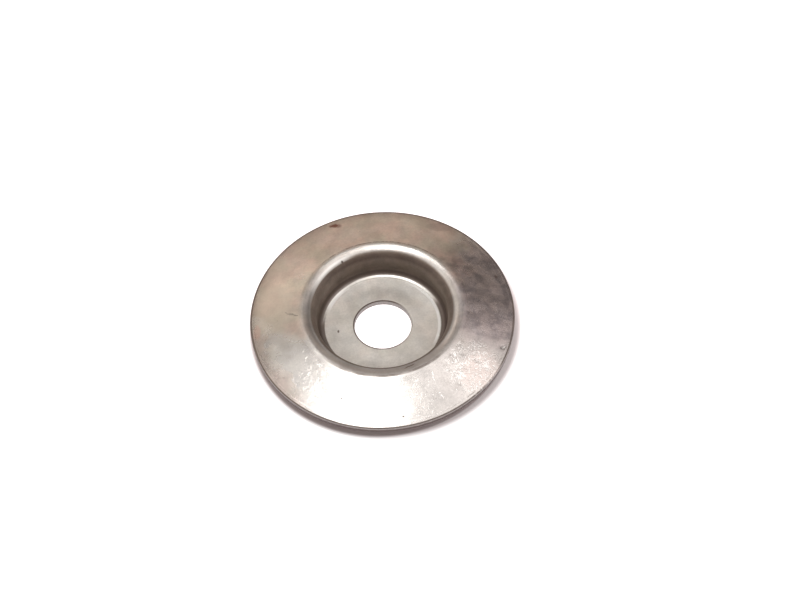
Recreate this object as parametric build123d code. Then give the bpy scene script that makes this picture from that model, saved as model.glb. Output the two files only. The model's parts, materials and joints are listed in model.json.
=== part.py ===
from build123d import *
from math import cos, radians, tan
import os

# A dished cup washer: one disc of sheet steel, drawn down into a flat-floored cup round the screw hole,
# with the rest of the sheet falling away outside the cup as a shallow cone, as on a belleville washer.
# Z = 0 is the underside of the cup's floor, which the washer stands on, and +Z is the washer's axis.

# Driving dimensions, in millimetres, with the slope in degrees.
sheet_thickness = 0.9
flange_diameter = 38.5      # over the trimmed outer edge
hole_diameter = 8.4         # close clearance on an M8 screw
cup_bore_diameter = 19.2    # between the cup's inside walls
cup_depth = 4.5             # from the crest of the rim down to the upper face of the floor
flange_slope = 14.0         # how far the flange falls below level, going outwards
floor_bend_radius = 1.1     # inside the cup, where the floor turns up into the wall
rim_bend_radius = 2.0       # over the crest, where the wall turns out into the flange
edge_roll_radius = 0.25     # the upper outer edge, rolled over as the die trimmed it
hole_roll_radius = 0.15     # the upper edge of the hole, rolled over by the punch
burr_break_radius = 0.06    # both lower edges, with the burr tumbled off

flange_radius = flange_diameter / 2
hole_radius = hole_diameter / 2
cup_bore_radius = cup_bore_diameter / 2
crest_height = sheet_thickness + cup_depth
slope = radians(flange_slope)

# Both bends are rolled round one centre each, so every fibre of the sheet shares it.
rim_bend_centre_radius = cup_bore_radius + rim_bend_radius
rim_bend_centre_height = crest_height - rim_bend_radius


def flange_height(radius, depth):
    # Height of the cone that lies depth below the flange's upper face, extended in to any radius.
    fibre_radius = rim_bend_radius - depth
    run = radius - rim_bend_centre_radius
    return rim_bend_centre_height + fibre_radius / cos(slope) - run * tan(slope)


def sheet_side(depth):
    # One face of the sheet in half section, from the hole out to the trimmed edge.
    # A depth of 0 is the upper face, and the sheet's thickness is the underside.
    floor_height = sheet_thickness - depth
    wall_radius = cup_bore_radius + depth
    corners = [
        (hole_radius, floor_height),
        (wall_radius, floor_height),
        (wall_radius, flange_height(wall_radius, depth)),
        (flange_radius, flange_height(flange_radius, depth)),
    ]
    return FilletPolyline(*corners, radius=[floor_bend_radius + depth, rim_bend_radius - depth])


def half_section():
    upper_face = sheet_side(0)
    underside = sheet_side(sheet_thickness)
    hole_wall = Line(underside @ 0, upper_face @ 0)
    trimmed_edge = Line(upper_face @ 1, underside @ 1)
    section = make_face([*upper_face.edges(), trimmed_edge, *underside.edges(), hole_wall])
    at_hole, at_trimmed_edge = 0, -1
    lower, upper = 0, 1
    edge_radii = [
        (at_hole, upper, hole_roll_radius),
        (at_hole, lower, burr_break_radius),
        (at_trimmed_edge, upper, edge_roll_radius),
        (at_trimmed_edge, lower, burr_break_radius),
    ]
    for end, level, edge_radius in edge_radii:
        corner = section.vertices().group_by(Axis.X)[end].sort_by(Axis.Y)[level]
        section = fillet([corner], edge_radius)
    return section


cup_washer = revolve(Plane.XZ * half_section(), axis=Axis.Z)

os.makedirs("parts", exist_ok=True)
export_step(cup_washer, "parts/cup_washer.step")
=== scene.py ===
import bpy
import bmesh
import json
import math
from mathutils import Matrix, Vector
from mathutils.kdtree import KDTree


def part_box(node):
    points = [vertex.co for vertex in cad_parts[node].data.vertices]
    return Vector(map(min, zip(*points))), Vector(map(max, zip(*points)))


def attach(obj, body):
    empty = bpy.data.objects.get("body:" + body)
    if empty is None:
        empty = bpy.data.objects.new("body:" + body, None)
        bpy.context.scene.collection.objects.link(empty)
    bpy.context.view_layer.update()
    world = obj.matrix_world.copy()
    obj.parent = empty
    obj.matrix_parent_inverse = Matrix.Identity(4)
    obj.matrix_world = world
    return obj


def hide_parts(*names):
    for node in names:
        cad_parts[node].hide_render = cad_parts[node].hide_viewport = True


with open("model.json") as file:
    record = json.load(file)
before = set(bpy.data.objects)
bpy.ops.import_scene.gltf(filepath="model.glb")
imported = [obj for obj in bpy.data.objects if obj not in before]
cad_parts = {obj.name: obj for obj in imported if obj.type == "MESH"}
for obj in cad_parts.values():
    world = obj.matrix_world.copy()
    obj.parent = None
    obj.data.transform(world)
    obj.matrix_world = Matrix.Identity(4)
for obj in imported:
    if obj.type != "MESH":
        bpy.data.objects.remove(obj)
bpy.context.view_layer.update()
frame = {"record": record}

boxLow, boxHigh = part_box("cup_washer")
mounts = {mount["name"]: mount for mount in frame["record"]["mounts"]}
print("frame loaded, washer is", round((boxHigh.x - boxLow.x) * 1000, 2), "mm across")

mm = 0.001


def deselectAll():
    if bpy.context.object and bpy.context.object.mode != "OBJECT":
        bpy.ops.object.mode_set(mode="OBJECT")
    bpy.ops.object.select_all(action="DESELECT")


def smoothStep(value, start, end):
    t = min(1, max(0, (value - start) / (end - start)))
    return t * t * (3 - 2 * t)


# the washer: a half section is walked as runs and bends, then spun round the axis

washer = {
    "sheet": 0.9 * mm,
    "cupBore": 9.6 * mm,            # inside radius of the cup
    "slope": 14.0,                  # fall of the flange, in degrees
    "floorBend": 1.1 * mm,
    "floorDish": 3.5,               # rise of the cup floor's outer part, in degrees
    "dishStart": 6.1 * mm,
    "dishEase": 24.0 * mm,
    "lipRise": 6.0,                 # and a quicker rise just before the bend
    "lipEase": 2.6 * mm,
    "rimBend": 2.0 * mm,
    "footDip": 0.7,                 # extra fall just outside the rim, in degrees
    "footRun": 0.35 * mm,
    "footEase": 20.0 * mm,          # how slowly the extra fall is lost
    "settle": 0.3,                  # degrees that the rest of the flange gives back
    "dieLineIn": 0.66 * mm,         # faint flat line pressed just inside the edge
    "dieLineWide": 0.09 * mm,
    "dieLineTurn": 6.0,
    "edgeRoll": 0.25 * mm,
    "holeRoll": 0.15 * mm,
    "burrBreak": 0.06 * mm,
    "burnish": 0.35,                # share of the trimmed edge that the die left smooth
    "breakIn": 5.0,                 # degrees that the torn part leans in
    "turns": 560,                   # steps round the axis
    "sectors": 8,
    "ringGap": 0.26 * mm,           # between rings on the faces that show most
    "hiddenGap": 0.7 * mm,          # between rings underneath
    "weld": 0.002 * mm,
    "bendSteps": {
        "holeRoll": 5, "dish": 6, "lip": 3, "floor": 16, "rim": 26, "foot": 3, "dieLine": 1,
        "edgeRoll": 7, "breakIn": 1, "burr": 3, "underRim": 9, "underFloor": 11,
    },
}
holeRadius = mounts["screw_hole"]["dims"]["r_mm"] * mm
flangeRadius = boxHigh.x
crestHeight = boxHigh.z


class Walker:
    # draws an outline in the XZ plane with one vertex: heading 0 is outwards, 90 is up
    def __init__(self, x, z, heading):
        self.x, self.z, self.heading = x, z, heading
        bpy.ops.mesh.primitive_plane_add(size=mm)
        bpy.ops.object.mode_set(mode="EDIT")
        bpy.ops.mesh.merge(type="CENTER")
        bpy.ops.transform.translate(value=(x, 0, z))

    def run(self, length, gap):
        steps = max(1, round(length / gap))
        turn = math.radians(self.heading)
        dx, dz = length / steps * math.cos(turn), length / steps * math.sin(turn)
        for _ in range(steps):
            bpy.ops.mesh.extrude_vertices_move(TRANSFORM_OT_translate={"value": (dx, 0, dz)})
        self.x += dx * steps
        self.z += dz * steps

    def bend(self, radius, degrees, steps):
        # positive degrees turn left, as seen with X to the right and Z up
        side = math.copysign(1, degrees)
        across = math.radians(self.heading + 90 * side)
        centre = Vector((self.x + radius * math.cos(across), 0, self.z + radius * math.sin(across)))
        bpy.ops.mesh.spin(steps=steps, angle=math.radians(degrees), center=centre, axis=(0, 1, 0))
        self.heading += degrees
        end = math.radians(self.heading - 90 * side)
        self.x = centre.x + radius * math.cos(end)
        self.z = centre.z + radius * math.sin(end)


def tangentLength(radius, degrees):
    # how much of each side a rounded corner takes up
    return radius * math.tan(math.radians(abs(degrees)) / 2)


def walkSection():
    w = washer
    steps = w["bendSteps"]
    sheet, gap, hidden = w["sheet"], w["ringGap"], w["hiddenGap"]
    fall = w["slope"] - w["settle"]
    fallCos = math.cos(math.radians(fall))
    fallSin = math.sin(math.radians(fall))

    # the hole's wall and the cup's floor
    outline = Walker(holeRadius, w["burrBreak"], 90)
    outline.run(sheet - w["burrBreak"] - w["holeRoll"], gap)
    outline.bend(w["holeRoll"], -90, steps["holeRoll"])
    outline.run(w["dishStart"] - outline.x, gap)
    outline.bend(w["dishEase"], w["floorDish"], steps["dish"])
    dish = math.radians(w["floorDish"])
    steep = math.radians(w["floorDish"] + w["lipRise"])
    lipWidth = w["lipEase"] * (math.sin(steep) - math.sin(dish))
    lipStart = w["cupBore"] - w["floorBend"] * (1 - math.sin(steep)) - lipWidth
    outline.run((lipStart - outline.x) / math.cos(dish), gap)
    outline.bend(w["lipEase"], w["lipRise"], steps["lip"])

    # up the cup's wall, over the rim and down the flange
    outline.bend(w["floorBend"], 90 - w["floorDish"] - w["lipRise"], steps["floor"])
    outline.run(crestHeight - w["rimBend"] - outline.z, gap)
    outline.bend(w["rimBend"], -90 - w["slope"] - w["footDip"], steps["rim"])
    outline.run(w["footRun"], w["footRun"] / 2)
    outline.bend(w["footEase"], w["footDip"] + w["settle"], steps["foot"])
    flangeRun = (flangeRadius - outline.x) / fallCos
    outline.run(flangeRun - w["dieLineIn"], gap)
    outline.bend(w["dieLineWide"], w["dieLineTurn"], steps["dieLine"])
    outline.run(w["dieLineWide"], gap)
    outline.bend(w["dieLineWide"], -w["dieLineTurn"], steps["dieLine"])

    # round the trimmed edge
    rollLength = tangentLength(w["edgeRoll"], 90 - fall)
    edgeRun = (flangeRadius - outline.x) / fallCos
    outline.run(edgeRun - rollLength, gap)
    outline.bend(w["edgeRoll"], fall - 90, steps["edgeRoll"])
    edgeDrop = sheet / fallCos - rollLength - tangentLength(w["burrBreak"], 90 + fall)
    outline.run(edgeDrop * w["burnish"], gap)
    outline.bend(w["burrBreak"], -w["breakIn"], steps["breakIn"])
    outline.run(edgeDrop * (1 - w["burnish"]), gap)
    outline.bend(w["burrBreak"], w["breakIn"] - 90 - fall, steps["burr"])

    # and back underneath
    undersideBend = w["rimBend"] - sheet
    bendStart = w["cupBore"] + w["rimBend"] + undersideBend * fallSin
    outline.run((outline.x - bendStart) / fallCos, hidden)
    outline.bend(undersideBend, 90 + fall, steps["underRim"])
    outline.run(outline.z - sheet - w["floorBend"], hidden)
    outline.bend(w["floorBend"] + sheet, -90, steps["underFloor"])
    outline.run(outline.x - holeRadius - w["burrBreak"], hidden)
    outline.bend(w["burrBreak"], -90, steps["burr"])


def pressWasher():
    deselectAll()
    walkSection()
    bpy.ops.mesh.select_all(action="SELECT")
    bpy.ops.mesh.remove_doubles(threshold=washer["weld"])
    # one sector is spun, then copied round, so the sectors are alike
    sectors = washer["sectors"]
    sector = math.tau / sectors
    turned = {"center": (0, 0, 0), "axis": (0, 0, 1)}
    bpy.ops.mesh.spin(steps=washer["turns"] // sectors, angle=sector, **turned)
    bpy.ops.mesh.select_all(action="SELECT")
    bpy.ops.mesh.spin(steps=sectors - 1, angle=math.tau - sector, dupli=True, **turned)
    bpy.ops.mesh.select_all(action="SELECT")
    bpy.ops.mesh.remove_doubles(threshold=washer["weld"])
    bpy.ops.mesh.normals_make_consistent(inside=False)
    bpy.ops.object.mode_set(mode="OBJECT")
    bpy.ops.object.shade_smooth()
    piece = bpy.context.object
    piece.name = "pressed_washer"
    piece.data.name = "pressed_washer"
    return piece


def spot(radius, bearing):
    # a point on the washer's upper face, from its distance to the axis and its bearing from +X
    turn = math.radians(bearing)
    slope = math.radians(washer["slope"])
    rimBend = washer["rimBend"]
    centre = washer["cupBore"] + rimBend
    if radius < washer["cupBore"]:
        height = washer["sheet"]
    elif radius < centre + rimBend * math.sin(slope):
        height = crestHeight - rimBend + math.sqrt(max(0, rimBend ** 2 - (radius - centre) ** 2))
    else:
        height = crestHeight - rimBend + rimBend / math.cos(slope)
        height -= (radius - centre) * math.tan(slope)
    return Vector((radius * math.cos(turn), radius * math.sin(turn), height))


# handling wear that shows in the shape: a wavy flange, and dings pushed into it

wear = {
    "waveDepth": 0.035 * mm,
    "waveSize": 4.6 * mm,
    "floorDepth": 0.012 * mm,
    "waveStarts": (12.3 * mm, 14.0 * mm),    # no waves on the rim itself
    "waveEnds": (17.6 * mm, 18.7 * mm),      # nor at the trimmed edge
    "floorStarts": (0.3 * mm, 1.3 * mm),     # out from the hole's wall
    "floorEnds": (7.4 * mm, 8.4 * mm),
    "dings": [
        # radius, bearing, reach, depth, all lengths in mm
        (16.6, 201, 1.1, 0.012),
        (15.3, 232, 0.8, 0.005),
        (14.2, 238, 0.6, 0.005),
        (12.8, 317, 0.5, 0.035),
        (14.0, 322, 0.6, 0.030),
        (15.2, 316, 0.7, 0.030),
        (16.2, 324, 0.8, 0.030),
        (16.8, 313, 0.7, 0.025),
        (17.6, 306, 0.6, 0.025),
        (18.4, 336, 0.5, 0.040),
        (13.1, 352, 0.9, 0.018),
        (16.3, 6, 1.0, 0.020),
        (15.1, 24, 1.2, 0.015),
        (17.2, 40, 1.0, 0.015),
        (16.9, 57, 1.3, 0.020),
    ],
}


def addWaves(piece):
    flange = piece.vertex_groups.new(name="flange")
    floorTop = piece.vertex_groups.new(name="cupFloor")
    halfSheet = washer["sheet"] / 2
    floorStarts = [holeRadius + out for out in wear["floorStarts"]]
    for vertex in piece.data.vertices:
        radius = vertex.co.xy.length
        if radius > wear["waveStarts"][0]:
            weight = smoothStep(radius, *wear["waveStarts"])
            weight *= 1 - smoothStep(radius, *wear["waveEnds"])
            flange.add([vertex.index], weight, "REPLACE")
        elif vertex.co.z > halfSheet:
            weight = smoothStep(radius, *floorStarts)
            weight *= 1 - smoothStep(radius, *wear["floorEnds"])
            floorTop.add([vertex.index], weight, "REPLACE")
    for group, depth in (("flange", wear["waveDepth"]), ("cupFloor", wear["floorDepth"])):
        clouds = bpy.data.textures.new("sheetWaves", "CLOUDS")
        clouds.noise_scale = wear["waveSize"]
        clouds.noise_depth = 1
        waves = piece.modifiers.new("waves_" + group, "DISPLACE")
        waves.texture = clouds
        waves.texture_coords = "LOCAL"
        waves.direction = "Z"
        waves.mid_level = 0.5
        waves.strength = depth
        waves.vertex_group = group
        bpy.ops.object.modifier_apply(modifier=waves.name)
    piece.vertex_groups.clear()


def pushDings(piece):
    tree = KDTree(len(piece.data.vertices))
    for vertex in piece.data.vertices:
        tree.insert(vertex.co, vertex.index)
    tree.balance()
    bpy.ops.object.mode_set(mode="EDIT")
    for radius, bearing, reach, depth in wear["dings"]:
        _, index, _ = tree.find(spot(radius * mm, bearing))
        bpy.ops.mesh.select_all(action="DESELECT")
        editMesh = bmesh.from_edit_mesh(piece.data)
        editMesh.verts.ensure_lookup_table()
        editMesh.verts[index].select_set(True)
        editMesh.select_flush_mode()
        bmesh.update_edit_mesh(piece.data, loop_triangles=False, destructive=False)
        bpy.ops.transform.translate(
            value=(0, 0, -depth * mm), use_proportional_edit=True,
            proportional_edit_falloff="SMOOTH", proportional_size=reach * mm)
    bpy.ops.object.mode_set(mode="OBJECT")


pressedWasher = pressWasher()
addWaves(pressedWasher)
pushDings(pressedWasher)
triangles = sum(len(face.vertices) - 2 for face in pressedWasher.data.polygons)
print("washer pressed,", len(pressedWasher.data.vertices), "vertices,", triangles, "triangles")


# helpers for node trees

def addNode(tree, kind, values=None, **settings):
    node = tree.nodes.new("ShaderNode" + kind)
    for name, setting in settings.items():
        setattr(node, name, setting)
    for socket, value in (values or {}).items():
        if isinstance(value, bpy.types.NodeSocket):
            tree.links.new(value, node.inputs[socket])
        else:
            node.inputs[socket].default_value = value
    return node


def maths(tree, operation, *operands, clamp=False):
    node = addNode(tree, "Math", dict(enumerate(operands)), operation=operation, use_clamp=clamp)
    return node.outputs[0]


def vectorMaths(tree, operation, *operands):
    node = addNode(tree, "VectorMath", operation=operation)
    for index, operand in enumerate(operands):
        if isinstance(operand, bpy.types.NodeSocket):
            tree.links.new(operand, node.inputs[index])
        else:
            node.inputs[index].default_value = operand
    return node.outputs["Value" if operation in ("LENGTH", "DOT_PRODUCT", "DISTANCE") else "Vector"]


def ramp(tree, value, start, end, low=0.0, high=1.0):
    # smooth change from low to high as the value goes from start to end
    values = {"Value": value, "From Min": start, "From Max": end, "To Min": low, "To Max": high}
    return addNode(tree, "MapRange", values, interpolation_type="SMOOTHSTEP").outputs["Result"]


def blend(tree, factor, first, second, mode="MIX"):
    node = addNode(tree, "Mix", data_type="RGBA", blend_type=mode)
    for index, value in ((0, factor), (6, first), (7, second)):
        if isinstance(value, bpy.types.NodeSocket):
            tree.links.new(value, node.inputs[index])
        else:
            node.inputs[index].default_value = value
    return node.outputs[2]


def noise(tree, place, scale, detail=2.0, roughness=0.5, distortion=0.0):
    values = {"Vector": place, "Scale": scale, "Detail": detail, "Roughness": roughness}
    values["Distortion"] = distortion
    return addNode(tree, "TexNoise", values).outputs["Fac"]


def shift(tree, place, offset):
    return vectorMaths(tree, "ADD", place, offset)


def scaled(tree, vector, factor):
    node = addNode(tree, "VectorMath", {0: vector, "Scale": factor}, operation="SCALE")
    return node.outputs["Vector"]


def times(tree, *factors):
    result = factors[0]
    for factor in factors[1:]:
        result = maths(tree, "MULTIPLY", result, factor)
    return result


def strongest(tree, *masks):
    result = masks[0]
    for mask in masks[1:]:
        result = maths(tree, "MAXIMUM", result, mask)
    return result


def darken(tree, mask, colour, shade):
    # multiplies the colour by the shade where the mask is 1
    return blend(tree, mask, colour, blend(tree, 1.0, colour, shade, "MULTIPLY"))


def newGroup(name, inputs, outputs):
    group = bpy.data.node_groups.new(name, "ShaderNodeTree")
    for socket, default in inputs.items():
        kind = "NodeSocketVector" if isinstance(default, tuple) else "NodeSocketFloat"
        item = group.interface.new_socket(socket, in_out="INPUT", socket_type=kind)
        item.default_value = default
    for socket in outputs:
        group.interface.new_socket(socket, in_out="OUTPUT", socket_type="NodeSocketFloat")
    given = group.nodes.new("NodeGroupInput").outputs
    result = group.nodes.new("NodeGroupOutput").inputs
    return group, given, result


def useGroup(tree, group, values):
    node = tree.nodes.new("ShaderNodeGroup")
    node.node_tree = group
    for socket, value in values.items():
        if isinstance(value, bpy.types.NodeSocket):
            tree.links.new(value, node.inputs[socket])
        else:
            node.inputs[socket].default_value = value
    return node.outputs


# shared effects, all on object coordinates in millimetres

def makeRingMask():
    # a band round the washer's axis, 1 between the inner and outer radius
    inputs = {"Vector": (0, 0, 0), "Inner": 0.0, "Outer": 1.0, "Feather": 0.1}
    group, given, result = newGroup("ringMask", inputs, ["Mask"])
    flat = vectorMaths(group, "MULTIPLY", given["Vector"], (1, 1, 0))
    radius = vectorMaths(group, "LENGTH", flat)
    inside = maths(group, "SUBTRACT", given["Inner"], given["Feather"])
    outside = maths(group, "ADD", given["Outer"], given["Feather"])
    rising = ramp(group, radius, inside, given["Inner"])
    falling = ramp(group, radius, given["Outer"], outside, 1.0, 0.0)
    group.links.new(times(group, rising, falling), result["Mask"])
    return group


def makeBlotchMask():
    # an uneven oval, 1 at its middle
    inputs = {"Vector": (0, 0, 0), "Place": (0, 0, 0), "Span": (1, 1, 1)}
    inputs.update({"Feather": 0.3, "Wobble": 0.3, "Grain": 1.0})
    group, given, result = newGroup("blotchMask", inputs, ["Mask"])
    away = vectorMaths(group, "SUBTRACT", given["Vector"], given["Place"])
    away = vectorMaths(group, "DIVIDE", away, given["Span"])
    uneven = maths(group, "SUBTRACT", noise(group, given["Vector"], given["Grain"], 3.0, 0.6), 0.5)
    straight = vectorMaths(group, "LENGTH", away)
    distance = maths(group, "MULTIPLY_ADD", uneven, given["Wobble"], straight)
    inside = maths(group, "SUBTRACT", 1.0, given["Feather"])
    outside = maths(group, "ADD", 1.0, given["Feather"])
    group.links.new(ramp(group, distance, inside, outside, 1.0, 0.0), result["Mask"])
    return group


def makeScratchLine():
    # one wandering line between two points, thinner at its ends
    inputs = {"Vector": (0, 0, 0), "Start": (0, 0, 0), "End": (1, 0, 0)}
    inputs.update({"Width": 0.1, "Wobble": 0.2})
    group, given, result = newGroup("scratchLine", inputs, ["Mask"])
    wander = addNode(group, "TexNoise", {"Vector": given["Vector"], "Scale": 1.6, "Detail": 2.0})
    centred = vectorMaths(group, "SUBTRACT", wander.outputs["Color"], (0.5, 0.5, 0.5))
    bent = scaled(group, centred, given["Wobble"])
    place = vectorMaths(group, "ADD", given["Vector"], bent)
    fromStart = vectorMaths(group, "SUBTRACT", place, given["Start"])
    line = vectorMaths(group, "SUBTRACT", given["End"], given["Start"])
    lengthSquared = vectorMaths(group, "DOT_PRODUCT", line, line)
    along = vectorMaths(group, "DOT_PRODUCT", fromStart, line)
    along = maths(group, "DIVIDE", along, lengthSquared, clamp=True)
    nearest = scaled(group, line, along)
    distance = vectorMaths(group, "DISTANCE", fromStart, nearest)
    # 1 at the middle, 0.4 at either end
    taper = times(group, along, maths(group, "SUBTRACT", 1.0, along))
    width = times(group, given["Width"], maths(group, "MULTIPLY_ADD", taper, 2.4, 0.4))
    core = times(group, width, 0.3)
    group.links.new(ramp(group, distance, core, width, 1.0, 0.0), result["Mask"])
    return group


def makeWornDents():
    # short wriggling dents in every direction, as from parts tumbled together
    inputs = {"Vector": (0, 0, 0), "Length": 0.8, "Width": 0.12, "Cover": 0.5}
    group, given, result = newGroup("wornDents", inputs, ["Dent"])
    perLength = maths(group, "DIVIDE", 1.0, given["Length"])
    wriggle = noise(group, given["Vector"], perLength, 1.0, 0.5, 0.9)
    halfWidth = maths(group, "DIVIDE", given["Width"], given["Length"])
    fromLine = maths(group, "ABSOLUTE", maths(group, "SUBTRACT", wriggle, 0.5))
    line = ramp(group, fromLine, 0.0, halfWidth, 1.0, 0.0)
    # a second noise breaks the lines up into short marks
    moved = shift(group, given["Vector"], (7.3, 2.1, 5.0))
    broken = noise(group, moved, times(group, perLength, 1.3), 0.0)
    threshold = maths(group, "SUBTRACT", 0.75, times(group, given["Cover"], 0.5))
    kept = ramp(group, broken, threshold, maths(group, "ADD", threshold, 0.08))
    group.links.new(times(group, line, kept), result["Dent"])
    return group


def makeTarnishFilm():
    # the thin warm film left on pressed steel: how thick it is, and how its tint drifts
    inputs = {"Vector": (0, 0, 0), "Patch": 5.0, "Cover": 0.5, "Soft": 0.2}
    group, given, result = newGroup("tarnishFilm", inputs, ["Film", "Drift"])
    perPatch = maths(group, "DIVIDE", 1.0, given["Patch"])
    cloudy = noise(group, given["Vector"], perPatch, 5.0, 0.58, 0.6)
    threshold = maths(group, "SUBTRACT", 1.0, given["Cover"])
    low = maths(group, "SUBTRACT", threshold, given["Soft"])
    high = maths(group, "ADD", threshold, given["Soft"])
    group.links.new(ramp(group, cloudy, low, high), result["Film"])
    moved = shift(group, given["Vector"], (31.0, 17.0, 9.0))
    drift = noise(group, moved, times(group, perPatch, 1.5), 3.0, 0.5)
    group.links.new(ramp(group, drift, 0.30, 0.70), result["Drift"])
    return group


ringMask = makeRingMask()
blotchMask = makeBlotchMask()
scratchLine = makeScratchLine()
wornDents = makeWornDents()
tarnishFilm = makeTarnishFilm()


# the pressed faces

pressedLook = {
    "bare": (0.66, 0.635, 0.615, 1),
    "greenFilm": (0.59, 0.54, 0.46, 1),
    "pinkFilm": (0.65, 0.535, 0.47, 1),
    # the colour of dirt and of painted shade
    "grimeAndShade": (0.15, 0.115, 0.10, 1),
    "rust": (0.20, 0.095, 0.07, 1),
    "salmon": (0.72, 0.50, 0.43, 1),
    "haze": (0.82, 0.79, 0.75, 1),
    "cream": (0.76, 0.67, 0.565, 1),
    "soot": (0.38, 0.33, 0.30, 1),
    "blush": (0.86, 0.76, 0.72, 1),
    # the bright colour of the burnished arc, of the painted highlights on the rim and of the
    # painted glints
    "polish": (0.95, 0.94, 0.92, 1),
    # these multiply the colour under them
    # painted shade inside the cup: its wall, and a band just below the rim at the back
    "wallShade": (0.43, 0.374, 0.335, 1),
    "throatShade": (0.70, 0.66, 0.65, 1),
    "edgeShade": (0.80, 0.77, 0.77, 1),
    "floorShade": (1.05, 1.06, 1.04, 1),
    "smokeDark": (0.78, 0.745, 0.80, 1),
    "smokePale": (1.27, 1.19, 1.23, 1),
    "filmPatch": 4.5,
    "filmCover": 0.52,
    "filmSoft": 0.16,
    "filmStrength": 0.75,
    "leftFilm": 0.75,
    "roughness": 0.20,
    # how much rougher (+) or smoother (-) each part is
    "handledRoughness": 0.10,
    "filmRoughness": 0.05,
    "rimRoughness": 0.06,
    "wallRoughness": 0.28,
    "floorRoughness": 0.15,
    "polishRoughness": -0.06,
    "dirtAndShadeRoughness": 0.3,
    "peelSize": 0.75,
    "peelDepth": 5.0,               # micrometres, as are the other depths
    "grainSize": 0.16,
    "grainDepth": 2.0,
    "dentDepth": 4.0,
    "loneDentDepth": 0.3,           # share of that depth where no marks crowd
    "scratchDepth": 4.0,
    # length and width of the tumbling marks in mm, then how far each pattern is moved
    "dents": (0.95, 0.042, (0, 0, 0)),
    "crossDents": (0.75, 0.042, (13.0, 29.0, 3.0)),
    "scuffs": (0.85, 0.035, (5.0, 41.0, 17.0)),
    # these two are gains over the crowd mask, then what is there without it
    "dentCover": (0.75, 0.03),
    "scuffDirtAndShade": (0.30, 0.04),
    "creaseDark": (0.85, 0.1),      # the same over the far side
    "edgePaintedShade": 0.85,
    "grooveDirtAndShade": 0.75,
    "packedDirtAndShade": 0.9,
    "packedLeft": 0.95,
    "crestPaintedShade": 0.42,
    "stepDirt": 0.35,
    # strengths of the painted highlight on the rim, at the back and on its left shoulder
    "backPaintedHighlight": 0.5,
    "leftPaintedHighlight": 0.45,
    "polishSlant": 0.45,            # how far the polished arc's end leans, as a slope
    "stainDeep": 0.8,               # reach of a stain and of a crowd up and down, in mm
    "crowdDeep": 3,
    "outside": 30.0,                # a radius past everything, in mm
    # bands round the axis: inner and outer radius, then feather, all in mm
    "bands": {
        "flange": (12.3, 30.0, 1.6),
        "byEdge": (18.7, 30.0, 1.8),
        "dieLine": (18.72, 18.78, 0.07),
        "crease": (11.94, 12.00, 0.11),
        "nearCrease": (11.66, 11.90, 0.18),
        # bands of the painted highlight on the rim
        "backPaintedHighlight": (11.42, 11.62, 0.14),
        "leftPaintedHighlight": (10.40, 10.78, 0.16),
        "rim": (9.7, 12.0, 0.5),
        "nearCrest": (10.1, 11.7, 0.45),
        "throat": (9.90, 10.13, 0.26),
        "packed": (8.62, 9.30, 0.13),
        "step": (8.46, 8.52, 0.07),
        "cupFloor": (3.0, 8.6, 0.5),
        "holeRim": (4.0, 4.35, 0.10),
    },
    # the bands whose radii change on the way round: what stays fixed of each
    "leftFeather": 0.7,
    "wallStart": 9.3,
    "wallFeather": 0.4,
    "edgeFeather": 0.10,
    "grooveEnd": 9.42,
    "grooveFeather": 0.19,
    "polishFeather": 0.20,
    # ragged patches: middle, span, feather, wobble and grain, all in mm
    "patches": {
        "backLeft": ((-5.3, 10.6, 3), (18.5, 15.8, 30), 0.09, 0.4, 0.3),
        "smoky": ((19, 2.4, 3), (11.5, 9.6, 20), 0.28, 0.5, 0.5),
        "farSide": ((0, 13, 4), (11, 8, 9), 0.3, 0.3, 0.3),
        "nearSide": ((1.0, -13, 4), (12, 7, 9), 0.3, 0.3, 0.3),
        "rightSide": ((8.9, -1.5, 1), (4, 5.5, 4), 0.3, 0.2, 0.5),
        "leftSide": ((-8.3, -3.9, 1), (4.5, 5.5, 4), 0.3, 0.2, 0.5),
        "leftShoulder": ((-7.8, 7.0, 5), (4.2, 4.6, 4), 0.3, 0.2, 0.4),
    },
    # changes across the washer: start and end in mm, then the value at each
    "fades": {
        "leftX": (-14.0, -10.5, 1.0, 0.0),
        "leftY": (-1.0, 2.0, 1.0, 0.0),
        "faintFilm": (-11.0, -1.0, 0.06, 0.30),
        # how high up the rim the wall's painted shade reaches, higher at the back
        "wallTop": (5.0, 9.0, 10.22, 10.32),
        "throat": (3.0, 8.0),
        "holeRim": (1.5, 4.0, 1.0, 0.3),
        "edgeStart": (-12.0, -3.0, 19.10, 18.95),
        "grooveStart": (-6.0, -2.0, 8.92, 9.03),
        "polishStart": (-5.0, 5.0, 8.34, 8.18),
        "polishEnd": (-5.0, 5.0, 8.72, 8.36),
        "polishBack": (5.5, 7.5, 1.0, 0.0),
        "polishFront": (-1.5, 1.0),
    },
    # scale per mm, detail, roughness and distortion of a noise,
    # then its darkest and lightest tone and the value at each
    "clouds": {
        "leftStart": ((0.45, 5.0, 0.65), (0.3, 0.7, 15.8, 18.4)),
        "smudge": ((0.38, 7.0, 0.66), (0.30, 0.70, 0.86, 1.10)),
        "fineSmudge": ((3.2, 3.0, 0.7), (0.30, 0.70, 0.95, 1.05)),
        "puffs": ((0.65, 5.0, 0.6, 0.3), (0.34, 0.66)),
        "creaseDark": ((1.5, 3.0, 0.65), (0.38, 0.56, 0.15, 0.75)),
        "lineDirt": ((0.7, 3.0, 0.6), (0.42, 0.62, 0.0, 0.45)),
        "nearDirtAndShade": ((0.6, 4.0, 0.6), (0.35, 0.65, 0.45, 0.75)),
    },
    "smudgeMoved": (11.0, 4.0, 0.0),
}

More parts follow.
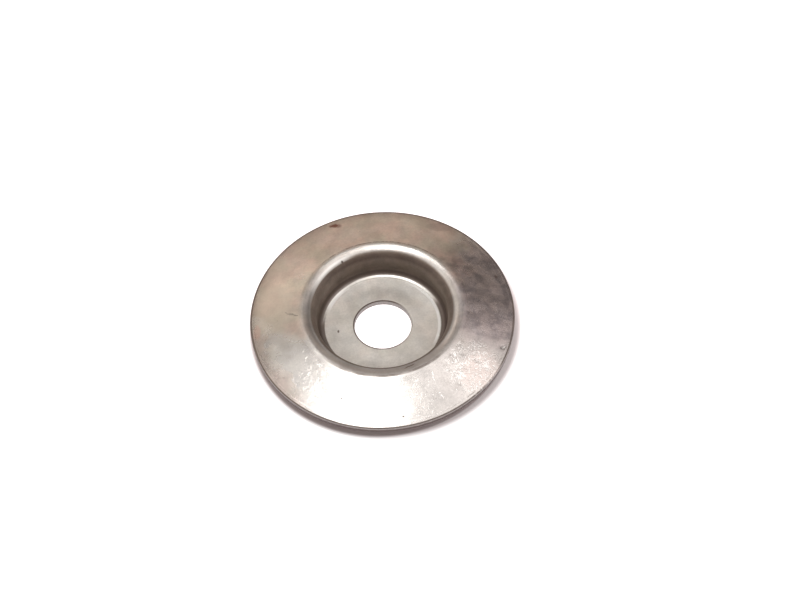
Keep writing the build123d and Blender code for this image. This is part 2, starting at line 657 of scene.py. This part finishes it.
blotches = [
    # radius, bearing, span along x and y, feather, wobble, strength, kind, all in mm
    (15.8, 173, (4.2, 4.6), 0.30, 0.8, 0.38, "cream"),
    (17.2, 146, (3.6, 3.0), 0.25, 0.9, 0.24, "soot"),
    (17.6, 126, (3.0, 1.6), 0.35, 0.9, 0.16, "soot"),
    # painted shade at the rim's foot on the right
    (12.3, 334, (1.5, 2.6), 0.5, 0.5, 0.30, "soot"),
    (15.3, 206, (3.4, 3.4), 0.35, 0.7, 0.55, "haze"),
    (17.2, 320, (3.2, 3.2), 0.35, 0.8, 0.60, "blush"),
    (17.95, 111, (0.70, 0.38), 0.5, 1.2, 0.95, "rust"),      # brown spot by the far edge
    (17.6, 109.3, (0.45, 0.45), 0.6, 1.0, 0.60, "rust"),
    (18.0, 57.5, (2.2, 1.0), 0.15, 0.4, 0.17, "grimeAndShade"),     # faint oval stain
    (17.8, 16.5, (0.22, 0.30), 0.5, 0.6, 0.45, "rust"),
    (18.3, 186.5, (0.55, 1.2), 0.3, 0.8, 0.50, "salmon"),
    (10.42, 121.5, (0.16, 0.16), 0.5, 0.3, 0.8, "grimeAndShade"),   # dot on the rim
    (6.63, 186.5, (0.15, 0.24), 0.4, 0.4, 0.9, "grimeAndShade"),    # dot on the cup's floor
    (15.77, 246, (0.15, 0.15), 0.5, 0.3, 0.7, "grimeAndShade"),
    (17.77, 276.4, (0.15, 0.12), 0.5, 0.3, 0.8, "grimeAndShade"),
    (18.5, 336.7, (0.35, 0.30), 0.5, 0.8, 0.6, "grimeAndShade"),
]

scratches = [
    # radius and bearing of both ends, width, wobble, then how dark (+), or how bright as a painted
    # glint (-)
    (14.0, 178.4, 12.0, 183.3, 0.24, 0.5, 0.60),
    (11.1, 283.5, 10.85, 291.9, 0.22, 0.2, 0.85),
    (13.1, 299.0, 14.8, 297.5, 0.12, 0.7, -1.0),
    (16.2, 296.5, 17.1, 296.7, 0.11, 0.5, -0.9),
    (13.0, 209.5, 13.4, 210.5, 0.17, 0.3, -1.0),
    (13.3, 214.5, 13.7, 215.0, 0.15, 0.3, -1.0),
    (18.3, 335.5, 18.6, 337.5, 0.14, 0.3, -0.7),
    (12.7, 352.0, 13.3, 359.0, 0.30, 0.5, 0.20),
]

crowds = [
    # where tumbling marks crowd: radius, bearing, span along x and y in mm, density
    (16.0, 319, (4.4, 4.4), 1.0),
    (14.9, 230, (3.8, 3.4), 0.65),
    (15.5, 289, (2.4, 3.4), 0.50),
    (15.0, 349, (3.4, 3.2), 0.40),
]


def millimetres(tree):
    place = addNode(tree, "TexCoord").outputs["Object"]
    values = {"Vector": place, "Scale": (1 / mm, 1 / mm, 1 / mm)}
    return addNode(tree, "Mapping", values, vector_type="POINT").outputs["Vector"]


def inMillimetres(radius, bearing):
    return tuple(spot(radius * mm, bearing) / mm)


def ring(tree, place, inner, outer, feather):
    values = {"Vector": place, "Inner": inner, "Outer": outer, "Feather": feather}
    return useGroup(tree, ringMask, values)["Mask"]


def oval(tree, place, middle, span, feather, wobble, grain):
    values = {"Vector": place, "Place": middle, "Span": span}
    values.update({"Feather": feather, "Wobble": wobble, "Grain": grain})
    return useGroup(tree, blotchMask, values)["Mask"]


def newSteel(name):
    steel = bpy.data.materials.new(name)
    steel.use_nodes = True
    tree = steel.node_tree
    return steel, tree, tree.nodes["Principled BSDF"]


def finishSteel(tree, shader, colour, roughness, relief):
    # the relief is in micrometres
    tree.links.new(colour, shader.inputs["Base Color"])
    shader.inputs["Metallic"].default_value = 1
    tree.links.new(roughness, shader.inputs["Roughness"])
    bump = addNode(tree, "Bump", {"Height": relief, "Distance": mm / 1000, "Strength": 1.0})
    tree.links.new(bump.outputs["Normal"], shader.inputs["Normal"])


def pressedSteel():
    look = pressedLook
    steel, tree, shader = newSteel("pressedSteel")
    place = millimetres(tree)
    parts = addNode(tree, "SeparateXYZ", {0: place}).outputs

    def band(name):
        return ring(tree, place, *look["bands"][name])

    def patch(name):
        return oval(tree, place, *look["patches"][name])

    def fade(value, name):
        return ramp(tree, value, *look["fades"][name])

    def cloud(name, where=place):
        texture, change = look["clouds"][name]
        return ramp(tree, noise(tree, where, *texture), *change)

    flange, cupFloor = band("flange"), band("cupFloor")
    farSide, nearSide = patch("farSide"), patch("nearSide")

    # the film is thickest at the back and left of the flange, and rubbed off in front
    values = {"Vector": place, "Patch": look["filmPatch"]}
    values.update({"Cover": look["filmCover"], "Soft": look["filmSoft"]})
    film = useGroup(tree, tarnishFilm, values)
    leftEdge = ring(tree, place, cloud("leftStart"), look["outside"], look["leftFeather"])
    leftKept = times(tree, leftEdge, fade(parts["X"], "leftX"), fade(parts["Y"], "leftY"))
    covered = strongest(tree, patch("backLeft"), times(tree, leftKept, look["leftFilm"]))
    region = times(tree, covered, flange)
    faint = times(tree, film["Film"], fade(parts["Y"], "faintFilm"))
    thickness = maths(tree, "MULTIPLY_ADD", region, look["filmStrength"], faint, clamp=True)
    tint = blend(tree, film["Drift"], look["greenFilm"], look["pinkFilm"])
    colour = blend(tree, thickness, look["bare"], tint)
    smudge = cloud("smudge", shift(tree, place, look["smudgeMoved"]))
    smudge = times(tree, smudge, cloud("fineSmudge"))
    grey = {"Red": smudge, "Green": smudge, "Blue": smudge}
    shade = addNode(tree, "CombineColor", grey).outputs["Color"]
    colour = blend(tree, 1.0, colour, shade, "MULTIPLY")

    # smoky smudges on the right, and a greyer millimetre or two by the edge
    smoke = blend(tree, cloud("puffs"), look["smokeDark"], look["smokePale"])
    colour = darken(tree, times(tree, patch("smoky"), flange), colour, smoke)
    colour = darken(tree, times(tree, band("byEdge"), region), colour, look["edgeShade"])

    # painted shade inside the cup: the wall is darker, most of all just below the rim at the back;
    # the cup's floor is a little brighter
    wallTop = fade(parts["Y"], "wallTop")
    wall = ring(tree, place, look["wallStart"], wallTop, look["wallFeather"])
    colour = darken(tree, wall, colour, look["wallShade"])
    # painted shade just below the rim, at the back only
    throat = times(tree, band("throat"), fade(parts["Y"], "throat"))
    colour = darken(tree, throat, colour, look["throatShade"])
    colour = darken(tree, cupFloor, colour, look["floorShade"])

    # dark marks, partly dirt and partly painted shade, in the crease at the rim's foot, by both
    # edges and in the groove round the floor
    creased = maths(tree, "MULTIPLY_ADD", farSide, *look["creaseDark"])
    edgeStart = fade(parts["Y"], "edgeStart")
    edgeLine = ring(tree, place, edgeStart, look["outside"], look["edgeFeather"])
    grooveStart = fade(parts["X"], "grooveStart")
    groove = ring(tree, place, grooveStart, look["grooveEnd"], look["grooveFeather"])
    leftPacked = times(tree, patch("leftSide"), look["packedLeft"])
    bothSides = strongest(tree, patch("rightSide"), leftPacked)
    dirtAndShade = [
        # a broken dark line in the crease at the rim's foot, mostly at the back
        times(tree, cloud("creaseDark"), creased, band("crease")),
        # painted shade: a dark line round the hole's top edge, fainter on its right
        times(tree, band("holeRim"), fade(parts["X"], "holeRim")),
        # painted shade: a dark line along the roll of the outer edge, wider at the back
        times(tree, edgeLine, look["edgePaintedShade"]),
        times(tree, band("dieLine"), cloud("lineDirt")),
        # dirt and painted shade in the groove at the foot of the cup's wall, wider on the left
        times(tree, groove, look["grooveDirtAndShade"]),
        # dirt and painted shade in the bend round the cup's floor, on its left and right
        times(tree, bothSides, look["packedDirtAndShade"], band("packed")),
        # dirt and painted shade at the rim's foot, in front
        times(tree, nearSide, cloud("nearDirtAndShade"), band("nearCrease")),
        # painted shade on the rim's crest, in front
        times(tree, nearSide, look["crestPaintedShade"], band("nearCrest")),
        times(tree, farSide, look["stepDirt"], band("step")),
    ]

    relief = noise(tree, place, 1 / look["peelSize"], 3.0, 0.55)
    relief = times(tree, relief, look["peelDepth"])
    grain = noise(tree, place, 1 / look["grainSize"], 1.0)
    relief = maths(tree, "MULTIPLY_ADD", grain, look["grainDepth"], relief)

    # tumbling dents, crowded on the right of the flange
    near = []
    for radius, bearing, span, density in crowds:
        middle = inMillimetres(radius, bearing)
        mark = oval(tree, place, middle, (*span, look["crowdDeep"]), 0.4, 0.8, 0.4)
        near.append(times(tree, mark, density))
    crowd = strongest(tree, *near)
    cover = maths(tree, "MULTIPLY_ADD", crowd, *look["dentCover"])
    uncovered = maths(tree, "SUBTRACT", 1.0, covered)
    rubbed = maths(tree, "MULTIPLY", flange, uncovered, clamp=True)
    worn = {}
    for kind in ("dents", "crossDents", "scuffs"):
        length, width, moved = look[kind]
        values = {"Vector": shift(tree, place, moved), "Length": length}
        values.update({"Width": width, "Cover": cover})
        worn[kind] = times(tree, useGroup(tree, wornDents, values)["Dent"], rubbed)
    # dark scuffs among the dents: dirt, and painted shade along the dents' flanks
    scuffDirtAndShade = maths(tree, "MULTIPLY_ADD", crowd, *look["scuffDirtAndShade"])
    dirtAndShade.append(times(tree, worn["scuffs"], scuffDirtAndShade))
    allDents = strongest(tree, worn["dents"], worn["crossDents"])
    loneDepth = look["dentDepth"] * look["loneDentDepth"]
    depth = maths(tree, "MULTIPLY_ADD", crowd, look["dentDepth"], loneDepth)
    relief = maths(tree, "SUBTRACT", relief, times(tree, allDents, depth))
    # painted glints: where the dents crowd, their colour is brightened
    paintedShine = [times(tree, crowd, crowd, allDents)]

    stains = {}
    for radius, bearing, span, feather, wobble, strength, kind in blotches:
        middle = inMillimetres(radius, bearing)
        reach = (*span, look["stainDeep"])
        mark = oval(tree, place, middle, reach, feather, wobble, 1 / min(span))
        mark = times(tree, mark, strength)
        if kind == "grimeAndShade":
            dirtAndShade.append(mark)
        else:
            stains.setdefault(kind, []).append(mark)

    # a burnished arc in the bend round the cup's floor: smoother, and brighter in colour, partly a
    # painted highlight
    polishStart, polishEnd = (fade(parts["X"], name) for name in ("polishStart", "polishEnd"))
    polishedArcAndHighlight = ring(tree, place, polishStart, polishEnd, look["polishFeather"])
    aslant = maths(tree, "MULTIPLY_ADD", parts["X"], look["polishSlant"], parts["Y"])
    polishedArcAndHighlight = times(
        tree, polishedArcAndHighlight, fade(aslant, "polishFront"), fade(parts["Y"], "polishBack"))
    paintedShine.append(polishedArcAndHighlight)

    for fromRadius, fromBearing, toRadius, toBearing, width, wobble, darkness in scratches:
        values = {"Vector": place, "Width": width, "Wobble": wobble}
        values["Start"] = inMillimetres(fromRadius, fromBearing)
        values["End"] = inMillimetres(toRadius, toBearing)
        mark = useGroup(tree, scratchLine, values)["Mask"]
        relief = maths(tree, "SUBTRACT", relief, times(tree, mark, look["scratchDepth"]))
        # dark scratches join the dark marks, bright ones get a painted glint
        (dirtAndShade if darkness > 0 else paintedShine).append(times(tree, mark, abs(darkness)))

    # painted highlight: the rim's colour is brightened at the back and on its left shoulder, to
    # widen its highlight there
    backPaintedHighlight = times(tree, farSide, look["backPaintedHighlight"], band("backPaintedHighlight"))
    leftPaintedHighlight = times(tree, patch("leftShoulder"), look["leftPaintedHighlight"], band("leftPaintedHighlight"))
    colour = blend(tree, strongest(tree, backPaintedHighlight, leftPaintedHighlight), colour, look["polish"])

    allDirtAndShade = strongest(tree, *dirtAndShade)
    colour = blend(tree, allDirtAndShade, colour, look["grimeAndShade"])
    for kind, marks in stains.items():
        colour = blend(tree, strongest(tree, *marks), colour, look[kind])
    # the painted glints, the bright scratches and the arc brighten the colour
    bright = maths(tree, "MULTIPLY", strongest(tree, *paintedShine), 1.0, clamp=True)
    colour = blend(tree, bright, colour, look["polish"])

    handled = noise(tree, place, 0.5, 4.0, 0.6)
    roughness = maths(tree, "MULTIPLY_ADD", handled, look["handledRoughness"], look["roughness"])
    rougher = (
        (thickness, "film"), (band("rim"), "rim"), (wall, "wall"), (cupFloor, "floor"),
        (polishedArcAndHighlight, "polish"),
    )
    for mask, name in rougher:
        roughness = maths(tree, "MULTIPLY_ADD", mask, look[name + "Roughness"], roughness)
    roughness = maths(
        tree, "MULTIPLY_ADD", allDirtAndShade, look["dirtAndShadeRoughness"], roughness, clamp=True)
    finishSteel(tree, shader, colour, roughness, relief)
    return steel


# the trimmed edge and the hole's wall, as the die left them

shearedLook = {
    "burnished": (0.30, 0.285, 0.275, 1),
    "torn": (0.12, 0.095, 0.09, 1),
    "burnishDown": 0.12,            # mm of smooth band below the roll
    "ragDeep": 0.30,                # mm that the torn band's border goes up and down
    "ragSoft": 0.05,
    "roughness": 0.37,
    "tornRoughness": 0.2,
    "streakRoughness": 0.15,
    "streakWide": 0.10,
    "streakDepth": 6.0,
    "streakShade": 0.35,
    "streakSqueeze": (1.0, 1.0, 0.12),    # streaks run up and down
    "ragSqueeze": (1, 1, 0.3),
    "outerEdge": (15.0, 30.0, 1.0),       # only the outer edge has a torn band
    "upright": 0.6,                 # a face this steep, in either place, was cut
    "holeReach": 0.03 * mm,
    "edgeReach": 0.10 * mm,
}


def shearedEdge():
    look = shearedLook
    steel, tree, shader = newSteel("shearedEdge")
    place = millimetres(tree)
    squeezed = vectorMaths(tree, "MULTIPLY", place, look["streakSqueeze"])
    streaks = noise(tree, squeezed, 1 / look["streakWide"], 2.0, 0.6)
    squeezed = vectorMaths(tree, "MULTIPLY", place, look["ragSqueeze"])
    ragged = noise(tree, squeezed, 1.2, 3.0, 0.6)
    height = addNode(tree, "SeparateXYZ", {0: place}).outputs["Z"]
    lowest = spot(flangeRadius, 0).z / mm - look["burnishDown"] - look["ragDeep"]
    line = maths(tree, "MULTIPLY_ADD", ragged, look["ragDeep"], lowest)
    above = maths(tree, "SUBTRACT", height, line)
    below = ramp(tree, above, -look["ragSoft"], look["ragSoft"], 1.0, 0.0)
    torn = times(tree, ring(tree, place, *look["outerEdge"]), below)
    colour = blend(tree, torn, look["burnished"], look["torn"])
    streaked = ramp(tree, streaks, 0.3, 0.7, 0.0, look["streakShade"])
    colour = blend(tree, streaked, colour, look["torn"])
    roughness = maths(tree, "MULTIPLY_ADD", streaks, look["streakRoughness"], look["roughness"])
    roughness = maths(tree, "MULTIPLY_ADD", torn, look["tornRoughness"], roughness)
    relief = times(tree, streaks, look["streakDepth"])
    finishSteel(tree, shader, colour, roughness, relief)
    return steel


def giveMaterials(piece):
    piece.data.materials.append(pressedSteel())
    piece.data.materials.append(shearedEdge())
    nearHole = holeRadius + shearedLook["holeReach"]
    nearEdge = flangeRadius - shearedLook["edgeReach"]
    for face in piece.data.polygons:
        radius = face.center.xy.length
        upright = abs(face.normal.z) < shearedLook["upright"]
        if upright and (radius < nearHole or radius > nearEdge):
            face.material_index = 1


giveMaterials(pressedWasher)
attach(pressedWasher, "root")
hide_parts("cup_washer")
print("steel made")


# floor, camera and lamps

stage = {
    "floorHalf": 2.5,
    "wallRadius": 2.4,              # a low white wall stands all round, far behind the lamps
    "wallHeight": 0.39,
    "wallSides": 96,
    "floorColour": (0.62, 0.51, 0.51, 1),
    "floorRoughness": 0.9,
    "whiteLift": 1.0,               # the paper's own brightness out in the open
    # painted shadow: the paper's own brightness is taken away in offset rings round the washer:
    # centre, inner and outer radius, fade, all in mm, then how much is taken away
    "paintedShadows": [
        ((-0.18, 0.92, 0), (6.5, 19.03), 0.85, 0.96),
        ((0.75, 0.95, 0), (6.5, 19.00), 1.1, 0.76),
    ],
    "cameraPlace": Vector((0, -109.0, 157.9)) * mm,
    "cameraAim": Vector((2.77, 4.20, 0.9)) * mm,
    "cameraRoll": -2.6,             # degrees
    "cameraLens": 58.5,
    "cameraSensor": 36,
    "cameraClip": (0.01, 20),
    "roomColour": (0.15, 0.13, 0.115, 1),
}


def layFloor():
    deselectAll()
    bpy.ops.mesh.primitive_plane_add(size=2 * stage["floorHalf"])
    floor = bpy.context.object
    floor.name = "paper_floor"
    paper = bpy.data.materials.new("whitePaper")
    paper.use_nodes = True
    tree = paper.node_tree
    shader = tree.nodes["Principled BSDF"]
    shader.inputs["Base Color"].default_value = stage["floorColour"]
    shader.inputs["Roughness"].default_value = stage["floorRoughness"]
    shader.inputs["Specular IOR Level"].default_value = 0
    # painted shadow: the paper's own brightness is taken away in rings offset like the washer's
    # cast shadow, so the lamps' shadow shows there
    place = millimetres(tree)
    lift = stage["whiteLift"]
    for centre, (inner, outer), fade, taken in stage["paintedShadows"]:
        moved = shift(tree, place, tuple(-value for value in centre))
        under = ring(tree, moved, inner, outer, fade)
        left = maths(tree, "MULTIPLY_ADD", under, -taken * stage["whiteLift"], stage["whiteLift"])
        lift = maths(tree, "MINIMUM", lift, left)
    rays = addNode(tree, "LightPath").outputs
    seen = strongest(
        tree, rays["Is Glossy Ray"], rays["Is Transmission Ray"], rays["Is Camera Ray"])
    # after a dull bounce the paper is dark, so it lights nothing
    seen = times(tree, seen, maths(tree, "LESS_THAN", rays["Diffuse Depth"], 0.5))
    shader.inputs["Emission Color"].default_value = (1, 1, 1, 1)
    tree.links.new(times(tree, lift, seen), shader.inputs["Emission Strength"])
    floor.data.materials.append(paper)
    deselectAll()
    wallHeight = stage["wallHeight"]
    bpy.ops.mesh.primitive_cylinder_add(
        vertices=stage["wallSides"], radius=stage["wallRadius"], depth=wallHeight,
        end_fill_type="NOTHING", location=(0, 0, wallHeight / 2))
    bpy.ops.object.transform_apply(location=True, rotation=False, scale=False)
    wall = bpy.context.object
    wall.name = "paper_wall"
    wall.data.materials.append(paper)


def setCamera():
    bpy.ops.object.camera_add(location=stage["cameraPlace"])
    camera = bpy.context.object
    camera.data.lens = stage["cameraLens"]
    camera.data.sensor_width = stage["cameraSensor"]
    camera.data.clip_start, camera.data.clip_end = stage["cameraClip"]
    look = stage["cameraAim"] - stage["cameraPlace"]
    aim = look.to_track_quat("-Z", "Y").to_matrix().to_4x4()
    roll = Matrix.Rotation(math.radians(stage["cameraRoll"]), 4, "Z")
    camera.rotation_euler = (aim @ roll).to_euler()
    bpy.context.scene.camera = camera


lamps = {
    # lean towards +X and +Y from straight up, then width and depth, all in degrees,
    # then colour and radiance
    "overheadSoftbox": ((-7.0, 5.0), (13.0, 34.0), (1.0, 0.99, 0.97), 5.6),
    "frontTent": ((0.0, 0.0), (74.0, 46.0), (1.0, 0.98, 0.965), 0.47),
    "roomFront": ((-2.0, -20.0), (122.0, 84.0), (1.0, 0.97, 0.95), 0.36),
    "frontLow": ((0.0, -47.0), (90.0, 20.0), (1.0, 0.96, 0.93), 0.30),
    "rightCard": ((22.0, 16.0), (18.0, 24.0), (1.0, 0.89, 0.87), 0.50),
    "rightMirror": ((26.0, 34.0), (16.0, 13.0), (1.0, 0.88, 0.86), 0.10),
    "rightWindow": ((54.5, -13.0), (27.0, 54.0), (1.0, 0.97, 0.95), 1.05),
    "leftCard": ((-47.0, 30.0), (72.0, 28.0), (1.0, 0.94, 0.86), 0.66),
    "backCard": ((-5.0, 62.0), (43.0, 30.0), (1.0, 0.84, 0.73), 0.52),
}
lampDistance = 0.8
lowLamp = 0.6                       # cards below this share of that distance stand level


def hangLamps():
    for name, (lean, across, colour, radiance) in lamps.items():
        leanX, leanY = (math.radians(angle) for angle in lean)
        flat = math.cos(leanX)
        away = Vector((math.sin(leanX), flat * math.sin(leanY), flat * math.cos(leanY)))
        level = Vector((0, 1, 0)) if away.z > lowLamp else Vector((0, 0, 1))
        sideways = level.cross(away).normalized()
        turn = Matrix((sideways, away.cross(sideways), away)).transposed()
        width, depth = (2 * lampDistance * math.tan(math.radians(angle) / 2) for angle in across)
        bpy.ops.object.light_add(type="AREA", location=away * lampDistance)
        lamp = bpy.context.object
        lamp.name = name
        lamp.rotation_euler = turn.to_euler()
        lamp.data.shape = "RECTANGLE"
        lamp.data.size, lamp.data.size_y = width, depth
        lamp.data.color = colour
        lamp.data.energy = radiance * math.pi * width * depth


def setWorld():
    world = bpy.data.worlds.new("room")
    world.use_nodes = True
    bpy.context.scene.world = world
    background = world.node_tree.nodes["Background"]
    background.inputs["Color"].default_value = stage["roomColour"]


layFloor()
setCamera()
hangLamps()
setWorld()
bpy.context.scene.view_settings.view_transform = "Standard"
print("stage set")
